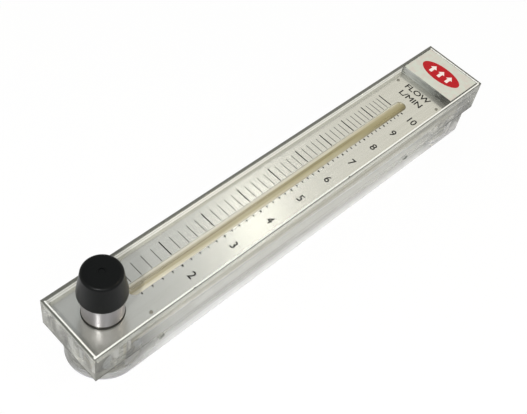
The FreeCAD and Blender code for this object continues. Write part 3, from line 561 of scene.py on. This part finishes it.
def cut_finish(face):
    """The finish of a face of the block that was left as cut, or none if it was polished."""
    centre, normal = face.center, face.normal
    radius = math.hypot(centre.x, centre.z - BORE_Z)
    inward = -(normal.x * centre.x + normal.z * (centre.z - BORE_Z))
    if BORE_LEAST < radius < BORE_MOST and inward > SQUARELY * radius and abs(normal.y) < 0.2:
        return BORE_WALL
    if normal.z > 0.5 and centre.z > BODY_HIGH.z - CORNER:
        return RIM
    if normal.z > SQUARELY and abs(centre.z - PLATE_LOW.z) < 0.01 * MM:
        return RECESS_FLOOR
    if normal.x > SQUARELY and centre.x < -PLATE_HIGH.x and centre.z > PLATE_LOW.z:
        return RECESS_WALL
    for spot, wide in TAPPED_HOLES:
        aside = math.hypot(centre.y - spot[1], centre.z - spot[2])
        if aside < wide and centre.x > spot[0] - HOLE_REACH:
            return TAPPED
    return None


CUT_FINISHES = (BORE_WALL, RIM, RECESS_FLOOR, RECESS_WALL, TAPPED)
block = frame["nodes"]["body"].data
for finish in CUT_FINISHES:
    block.materials.append(finish)
for face in block.polygons:
    finish = cut_finish(face)
    if finish:
        face.material_index = CUT_FINISHES.index(finish) + 1

# ---------------------------------------------------------------- the scale on the plate
FIRST_MARK, LAST_MARK, MARK_STEP = 1.2, 10.0, 0.2
MARKS = round((LAST_MARK - FIRST_MARK) / MARK_STEP) + 1
# a reading's height in millimetres: start + rise * (sqrt(1 + reading / knee) - 1) + slope * reading
LAW_START, LAW_RISE, LAW_KNEE, LAW_SLOPE = -197.717, 358.160, 2.7919, -9.2242


def scale_y(reading):
    """Height on the plate of a reading, in metres."""
    rise = LAW_RISE * (math.sqrt(1 + reading / LAW_KNEE) - 1)
    return (LAW_START + rise + LAW_SLOPE * reading) * MM


def ride_on_meter(name, mesh):
    """An object at the origin that stays with the meter."""
    obj = bpy.data.objects.new(name, mesh)
    bpy.context.scene.collection.objects.link(obj)
    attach(obj, "meter")


def modifier_tree(name, inputs):
    """A Geometry Nodes tree with one mesh output, and the sockets that bring its named inputs."""
    tree = bpy.data.node_groups.new(name, "GeometryNodeTree")
    for label, kind in inputs:
        tree.interface.new_socket(label, in_out="INPUT", socket_type=kind)
    tree.interface.new_socket("Geometry", in_out="OUTPUT", socket_type="NodeSocketGeometry")
    return tree, add(tree, "NodeGroupInput").outputs


def mesh_from_tree(name, tree, values):
    """The mesh that a tree makes from these values of its inputs."""
    obj = bpy.data.objects.new(name + "_source", bpy.data.meshes.new(name + "_source"))
    bpy.context.scene.collection.objects.link(obj)
    modifier = obj.modifiers.new(name, "NODES")
    modifier.node_group = tree
    for item in tree.interface.items_tree:
        if item.in_out == "INPUT":
            modifier[item.identifier] = values[item.name]
    view = bpy.context.evaluated_depsgraph_get()
    mesh = bpy.data.meshes.new_from_object(obj.evaluated_get(view))
    bpy.data.objects.remove(obj)
    return mesh


def marks_tree():
    """Short bars across the plate at the readings, the whole numbers picked in or out."""
    number, length = "NodeSocketInt", "NodeSocketFloat"
    tree, given = modifier_tree(
        "scale_marks",
        [
            ("Count", number),
            ("First", length),
            ("Step", length),
            ("Whole", number),
            ("Inner", length),
            ("Outer", length),
            ("Width", length),
            ("Height", length),
            ("Surface", length),
            ("Ink", "NodeSocketMaterial"),
        ],
    )
    line = add(tree, "GeometryNodeMeshLine", {"Count": given["Count"]})
    index = add(tree, "GeometryNodeInputIndex")
    reading = summed(tree, given["First"], (index, given["Step"]))
    # the law of the scale, as in scale_y
    under = summed(tree, 1.0, (reading, 1 / LAW_KNEE))
    root = add(tree, MATH, {0: under}, operation="SQRT")
    parts = (root, LAW_RISE * MM), (reading, LAW_SLOPE * MM)
    height = summed(tree, (LAW_START - LAW_RISE) * MM, *parts)
    middle = summed(tree, 0.0, (given["Inner"], 0.5), (given["Outer"], 0.5))
    spot = add(tree, "ShaderNodeCombineXYZ", {"X": middle, "Y": height, "Z": given["Surface"]})
    points = add(tree, "GeometryNodeSetPosition", {"Geometry": line, "Position": spot})
    nearest = add(tree, MATH, {0: reading}, operation="ROUND")
    apart = add(tree, MATH, {0: reading, 1: nearest}, operation="SUBTRACT")
    off_whole = add(tree, MATH, {0: apart}, operation="ABSOLUTE")
    is_whole = add(tree, MATH, {0: off_whole, 1: 0.01}, operation="LESS_THAN")
    wanted = add(tree, MATH, {0: is_whole, 1: given["Whole"]}, operation="COMPARE")
    span = add(tree, MATH, {0: given["Outer"], 1: given["Inner"]}, operation="SUBTRACT")
    sides = {"X": span, "Y": given["Width"], "Z": given["Height"]}
    size = add(tree, "ShaderNodeCombineXYZ", sides)
    bar = add(tree, "GeometryNodeMeshCube", {"Size": size})
    where_wanted = {"Points": points, "Selection": wanted, "Instance": bar}
    placed = add(tree, "GeometryNodeInstanceOnPoints", where_wanted)
    solid = add(tree, "GeometryNodeRealizeInstances", {"Geometry": placed})
    inked = add(tree, "GeometryNodeSetMaterial", {"Geometry": solid, "Material": given["Ink"]})
    add(tree, "NodeGroupOutput", {0: inked})
    return tree


MARKS_TREE = marks_tree()


def marks(name, whole, inner, outer, width, ink):
    """Marks from x inner to x outer in mm; whole is 1 for the whole numbers, 0 for the others."""
    values = {
        "Count": MARKS,
        "First": FIRST_MARK,
        "Step": MARK_STEP,
        "Whole": whole,
        "Inner": inner * MM,
        "Outer": outer * MM,
        "Width": width * MM,
        "Height": THIN,
        "Surface": PLATE_TOP + THIN / 2,
        "Ink": ink,
    }
    ride_on_meter(name, mesh_from_tree(name, MARKS_TREE, values))


marks("marks_whole", 1, -18.2, -5.2, 0.9, INK)
marks("marks_fifth", 0, -17.0, -5.3, 0.55, INK_LIGHT)
marks("dots_whole", 1, 5.1, 6.8, 1.2, INK)
marks("dots_fifth", 0, 4.9, 6.4, 0.95, INK)

# ---------------------------------------------------------------- printed words and numbers
CAPITAL = 0.72  # height of a capital as a share of the type size


def lettering(name, text, x, y, height, stretch, bold, centred):
    """Ink on the plate that reads with +Y up; x is its middle, or its left edge if not centred."""
    curve = bpy.data.curves.new(name, "FONT")
    curve.body = text
    curve.align_x = "CENTER"
    curve.align_y = "CENTER"
    curve.size = height / CAPITAL
    curve.extrude = THIN / 2
    curve.bevel_depth = bold
    curve.bevel_resolution = 0
    curve.resolution_u = 4
    type_obj = bpy.data.objects.new(name + "_type", curve)
    bpy.context.scene.collection.objects.link(type_obj)
    view = bpy.context.evaluated_depsgraph_get()
    mesh = bpy.data.meshes.new_from_object(type_obj.evaluated_get(view))
    bpy.data.objects.remove(type_obj)
    low = [min(v.co[i] for v in mesh.vertices) for i in range(3)]
    high = [max(v.co[i] for v in mesh.vertices) for i in range(3)]
    anchor = low[0] + (high[0] - low[0]) * (0.5 if centred else 0.0)
    for v in mesh.vertices:
        v.co.x = (v.co.x - anchor) * stretch + x
        v.co.y = v.co.y - (low[1] + high[1]) / 2 + y
        v.co.z = (v.co.z - low[2]) / (high[2] - low[2]) * THIN + PLATE_TOP
    mesh.materials.clear()
    mesh.materials.append(INK)
    ride_on_meter(name, mesh)


NUMBER_LEFT, NUMBER_SIZE, NUMBER_STRETCH, NUMBER_BOLD = 13.4 * MM, 6.4 * MM, 0.95, 0.13 * MM
for number in range(2, 11):
    figure = {"height": NUMBER_SIZE, "stretch": NUMBER_STRETCH, "bold": NUMBER_BOLD}
    spot = {"x": NUMBER_LEFT, "y": scale_y(number), "centred": False}
    lettering("number_%d" % number, str(number), **spot, **figure)

LEGEND_SIZE, LEGEND_STRETCH, LEGEND_BOLD = 5.4 * MM, 1.15, 0.14 * MM
LEGEND = (("legend_upper", "FLOW", 145.5 * MM), ("legend_lower", "L/MIN", 136.5 * MM))
for name, text, y in LEGEND:
    lettering(name, text, 0.0, y, LEGEND_SIZE, LEGEND_STRETCH, LEGEND_BOLD, centred=True)


# ---------------------------------------------------------------- the plain badge on the label
def print_on_label(name, outline, z, thick, finish):
    """A flat print on the label: its outline in metres, where it starts, and its thickness."""
    count = len(outline)
    verts = [(x, y, level) for level in (z, z + thick) for x, y in outline]
    faces = [list(range(count))[::-1], list(range(count, 2 * count))]
    faces += [(i, (i + 1) % count, count + (i + 1) % count, count + i) for i in range(count)]
    mesh = bpy.data.meshes.new(name)
    mesh.from_pydata(verts, [], faces)
    mesh.materials.append(finish)
    ride_on_meter(name, mesh)


BADGE_Y = BODY_LOW.y + 364.3 * MM
BADGE_HALF_X, BADGE_HALF_Y = 18.0 * MM, 8.4 * MM
OVAL_POINTS = 64
turns = [2 * math.pi * i / OVAL_POINTS for i in range(OVAL_POINTS)]
oval = [(BADGE_HALF_X * math.cos(t), BADGE_Y + BADGE_HALF_Y * math.sin(t)) for t in turns]
print_on_label("badge_red", oval, LABEL_TOP, THIN * 2, RED)

# three arrows that point up the scale, along +Y
ARROW_LONG, ARROW_WIDE, ARROW_APART = 8.5 * MM, 6.0 * MM, 8.0 * MM
HEAD_LONG, SHAFT_WIDE = 0.45 * ARROW_LONG, 0.44 * ARROW_WIDE
tip, wing, shaft = ARROW_LONG / 2, ARROW_WIDE / 2, SHAFT_WIDE / 2
neck = tip - HEAD_LONG
ARROW = [
    (-shaft, -tip),
    (shaft, -tip),
    (shaft, neck),
    (wing, neck),
    (0.0, tip),
    (-wing, neck),
    (-shaft, neck),
]
for k, across in enumerate((-ARROW_APART, 0.0, ARROW_APART)):
    outline = [(across + x, BADGE_Y + y) for x, y in ARROW]
    print_on_label("badge_arrow_%d" % k, outline, LABEL_TOP + 2 * THIN, THIN, PALE)


# ---------------------------------------------------------------- the threads of the tapped holes
def thread_tree():
    """A ridge that climbs along +Z on the wall of a hole."""
    number = "NodeSocketFloat"
    tree, given = modifier_tree(
        "thread_ridge",
        [
            ("Turns", number),
            ("Radius", number),
            ("Length", number),
            ("Depth", number),
            ("Finish", "NodeSocketMaterial"),
        ],
    )
    climb = {
        "Resolution": 40,
        "Rotations": given["Turns"],
        "Start Radius": given["Radius"],
        "End Radius": given["Radius"],
        "Height": given["Length"],
    }
    helix = add(tree, "GeometryNodeCurveSpiral", climb)
    # a ring of four corners is a diamond: its outer half is sunk in the wall
    diamond = {"Resolution": 4, "Radius": given["Depth"]}
    ridge = add(tree, "GeometryNodeCurvePrimitiveCircle", diamond)
    sweep = {"Curve": helix, "Profile Curve": ridge, "Fill Caps": True}
    swept = add(tree, "GeometryNodeCurveToMesh", sweep)
    solid = add(tree, "GeometryNodeRealizeInstances", {"Geometry": swept})
    dressed = {"Geometry": solid, "Material": given["Finish"]}
    add(tree, "NodeGroupOutput", {0: add(tree, "GeometryNodeSetMaterial", dressed)})
    return tree


THREAD_TREE = thread_tree()
PIPE_PITCH, PIPE_RIDGE = 1.814, 0.45  # 14 turns to the inch
HOLE_PITCH, HOLE_RIDGE = 0.8, 0.22


def thread(mount_name, pitch, depth, finish):
    """The thread of one tapped hole, a turn short of both ends; pitch and depth in millimetres."""
    mount = MOUNTS[mount_name]
    length = (mount["dims"]["length_mm"] - 2 * pitch) * MM
    values = {
        "Turns": length / (pitch * MM),
        "Radius": mount["dims"]["r_mm"] * MM,
        "Length": length,
        "Depth": depth * MM,
        "Finish": finish,
    }
    name = "thread_" + mount_name
    mesh = mesh_from_tree(name, THREAD_TREE, values)
    axis = Vector(mount["axis"])
    turn = axis.to_track_quat("Z", "Y").to_matrix().to_4x4()
    start = Vector(mount["pos_m"]) - axis * length / 2
    mesh.transform(Matrix.Translation(start) @ turn)
    ride_on_meter(name, mesh)


for end in ("inlet", "outlet"):
    thread(end + "_port", PIPE_PITCH, PIPE_RIDGE, BRASS)
for end in ("inlet", "outlet"):
    thread("bracket_hole_" + end, HOLE_PITCH, HOLE_RIDGE, TAPPED)


# ---------------------------------------------------------------- floor, light and camera
def shown_by_ray(tree, seen_through, bounced=0.0):
    """1 for a camera or glossy ray, which shows the background, and less for the other kinds."""
    path = add(tree, "ShaderNodeLightPath").outputs
    total = summed(
        tree,
        path["Is Camera Ray"],
        (path["Is Glossy Ray"], 1.0),
        (path["Is Diffuse Ray"], bounced),
        (path["Is Transmission Ray"], seen_through),
    )
    return add(tree, MATH, {0: total, 1: 1.0}, operation="MINIMUM")


FLOOR_HALF = 3.0
FLOOR_DROP = 0.2 * MM


def studio_floor():
    """A wide pale floor that keeps a light shadow."""
    made, tree = new_material("paper_white_matt")
    paper = add(tree, "ShaderNodeBsdfDiffuse", {"Color": linear("F4F4F2")})
    glow = add(tree, "ShaderNodeEmission", {"Color": linear("FFFFFF"), "Strength": 1.0})
    part = product(tree, shown_by_ray(tree, 0.8, 0.6), 0.93)
    both = add(tree, "ShaderNodeMixShader", {0: part, 1: paper, 2: glow})
    add(tree, "ShaderNodeOutputMaterial", {"Surface": both})
    sides = ((-1, -1), (1, -1), (1, 1), (-1, 1))
    mesh = bpy.data.meshes.new("studio_floor")
    mesh.from_pydata([(FLOOR_HALF * x, FLOOR_HALF * y, 0) for x, y in sides], [], [(0, 1, 2, 3)])
    mesh.materials.append(made)
    obj = bpy.data.objects.new("studio_floor", mesh)
    obj.location.z = BODY_LOW.z - FLOOR_DROP
    bpy.context.scene.collection.objects.link(obj)


studio_floor()

# the ceiling is darker and cooler where the inlet end of the plate mirrors it
DARK_SIDE = tuple(Vector((-0.50, 0.15, 0.85)).normalized())
SKY_TONES = ((0.0, "FFFFFC"), (0.84, "FFFBF0"), (0.94, "FDFDFA"), (0.978, "E4EAF3"))


def studio_sky():
    """An even white surround with one darker side."""
    world = bpy.data.worlds.new("studio_white")
    world.use_nodes = True
    bpy.context.scene.world = world
    tree = world.node_tree
    tree.nodes.clear()
    looking = add(tree, "ShaderNodeTexCoord").outputs["Generated"]
    toward = add(tree, "ShaderNodeVectorMath", {0: looking, 1: DARK_SIDE}, operation="DOT_PRODUCT")
    facing = toward.outputs["Value"]
    fall = {"Value": facing, "From Min": 0.95, "From Max": 0.993, "To Min": 0.0, "To Max": 0.58}
    darker = add(tree, RANGE, fall, interpolation_type="SMOOTHSTEP")
    mirrored = add(tree, "ShaderNodeLightPath").outputs["Is Glossy Ray"]
    tone = add(tree, RAMP, {"Fac": product(tree, facing, mirrored)}, SKY_TONES)
    kept = add(tree, MATH, {0: 1.0, 1: product(tree, darker, mirrored)}, operation="SUBTRACT")
    level = product(tree, summed(tree, 0.65, (shown_by_ray(tree, 1.0), 0.3)), kept)
    ground = add(tree, "ShaderNodeBackground", {"Color": tone, "Strength": level})
    add(tree, "ShaderNodeOutputWorld", {"Surface": ground})


studio_sky()


def soft_light(name, place, target, along, size, watts, colour):
    """A soft box that faces a point, its long side along a direction; not seen through."""
    lamp = bpy.data.lights.new(name, "AREA")
    lamp.shape = "RECTANGLE"
    lamp.size, lamp.size_y = size
    lamp.energy = watts
    lamp.color = linear(colour)[:3]
    obj = bpy.data.objects.new(name, lamp)
    back = (Vector(place) - Vector(target)).normalized()
    side = Vector(along)
    side = (side - back * side.dot(back)).normalized()
    facing_target = Matrix((side, back.cross(side), back)).transposed()
    obj.matrix_world = Matrix.Translation(place) @ facing_target.to_4x4()
    obj.visible_transmission = False
    bpy.context.scene.collection.objects.link(obj)


# where each lamp stands and what it faces
STRIP_PLACE, STRIP_TARGET = (-0.53, 0.67, 1.243), (0.0, -0.03, 0.043)
SIDE_PLACE, SIDE_TARGET = (0.9, -0.5, 0.8), (0.0, 0.0, 0.0)
NEAR_PLACE, RIGHT_PLACE, COLLAR = (0.33, -0.77, 0.9), (0.386, 0.407, 0.9), (0.0, -0.165, 0.05)
ALONG_METER = (0.0, 1.0, 0.0)
STRIP_ALONG = (-0.577, 0.817, 0.0)
soft_light("strip_far", STRIP_PLACE, STRIP_TARGET, STRIP_ALONG, (0.11, 0.045), 0.2, "FFFDF6")
soft_light("soft_box_side", SIDE_PLACE, SIDE_TARGET, ALONG_METER, (0.5, 0.5), 2.0, "F4F8FF")
soft_light("small_box_near", NEAR_PLACE, COLLAR, ALONG_METER, (0.05, 0.05), 6.5, "FFFFFF")
soft_light("small_box_right", RIGHT_PLACE, COLLAR, ALONG_METER, (0.06, 0.06), 1.3, "FFF0DA")

# the camera looks down along the meter from beyond its inlet end, rolled to the left
CAMERA_PLACE = Vector((0.23307, -0.33606, 0.52985))
RIGHT = Vector((0.68970766, 0.71237601, 0.12970649))
DOWN = Vector((0.62825120, -0.49968094, -0.59633832))
FORWARD = RIGHT.cross(DOWN)
SENSOR_MM, LENS_MM = 36.0, 60.947
SHIFT_X, SHIFT_Y = -0.0074, 0.01765  # of the optical centre, in widths of the view

camera = bpy.data.cameras.new("camera")
camera.sensor_width = SENSOR_MM
camera.sensor_fit = "HORIZONTAL"
camera.lens = LENS_MM
camera.shift_x, camera.shift_y = SHIFT_X, SHIFT_Y
camera.clip_start = 0.01
camera_obj = bpy.data.objects.new("camera", camera)
camera_turn = Matrix((RIGHT, -DOWN, -FORWARD)).transposed()
camera_obj.matrix_world = Matrix.Translation(CAMERA_PLACE) @ camera_turn.to_4x4()
bpy.context.scene.collection.objects.link(camera_obj)
bpy.context.scene.camera = camera_obj
bpy.context.scene.view_settings.view_transform = "Standard"
